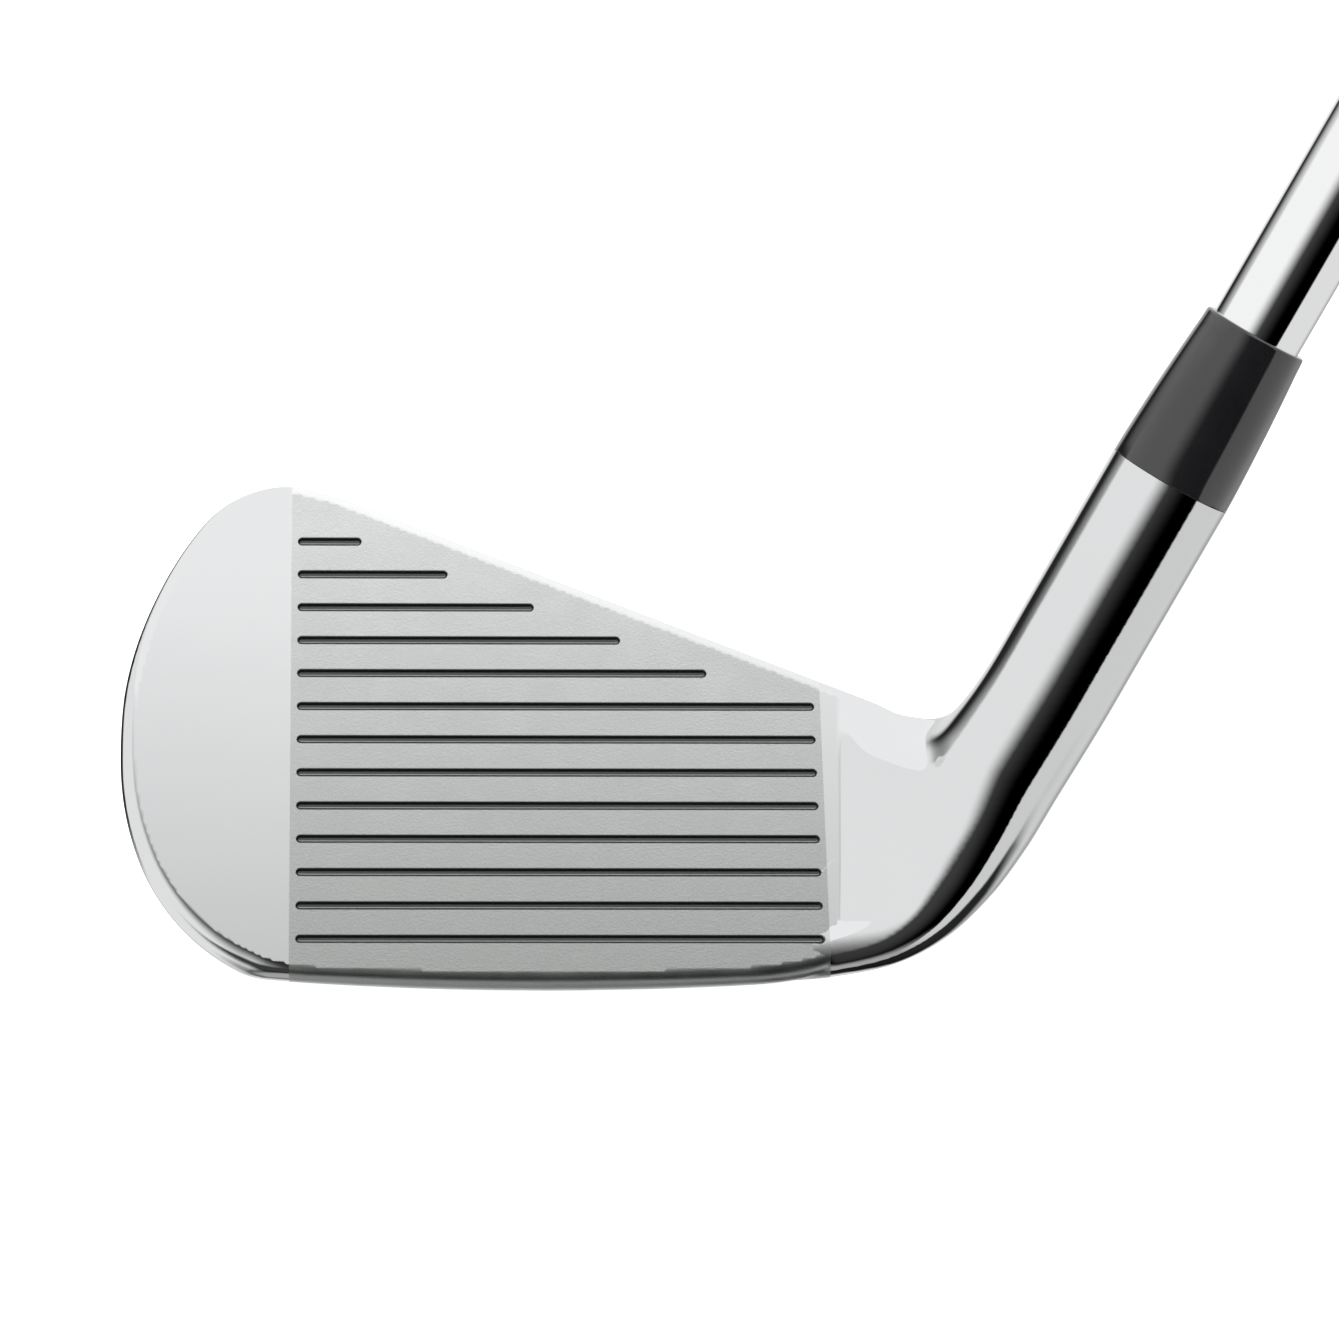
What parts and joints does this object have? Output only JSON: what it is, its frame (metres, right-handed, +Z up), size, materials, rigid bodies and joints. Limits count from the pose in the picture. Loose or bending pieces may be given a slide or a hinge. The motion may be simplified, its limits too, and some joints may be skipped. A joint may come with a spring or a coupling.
{
  "type": "iron golf club",
  "caption": "Right-handed long iron: forged cavity-back head with scored face, black ferrule, stepped steel shaft and tapered rubber grip.",
  "frame": {"origin": "point where the sole touches the ground, under the middle of the face", "axes": "+X from toe to heel, +Y from face to back, +Z up; the club stands at its lie angle with the face square"},
  "size_m": [0.5712, 0.0353, 0.8721],
  "materials": {
    "head_chrome": "polished chrome plate, with a blasted band across the scored part of the face",
    "weight_metal": "turned, satin",
    "badge_metal": "brushed, with a plain dark inlay",
    "bond_tape": "foam tape",
    "epoxy": "cured resin",
    "plug_brass": "turned",
    "ferrule_black": "polished cellulose",
    "shaft_chrome": "polished chrome plate",
    "band_film": "plain printed film",
    "grip_tape": "paper tape",
    "grip_rubber": "moulded, matte, textured",
    "cap_rubber": "moulded, smooth"
  },
  "bodies": {
    "root": {"head_body": "head_chrome", "toe_weight": "weight_metal", "heel_weight": "weight_metal", "badge_tape": "bond_tape", "cavity_badge": "badge_metal", "epoxy_sleeve": "epoxy", "tip_weight": "plug_brass", "ferrule": "ferrule_black", "shaft": "shaft_chrome", "shaft_band": "band_film", "grip_tape": "grip_tape", "grip_sleeve": "grip_rubber", "grip_cap": "cap_rubber"}
  },
  "joints": []
}
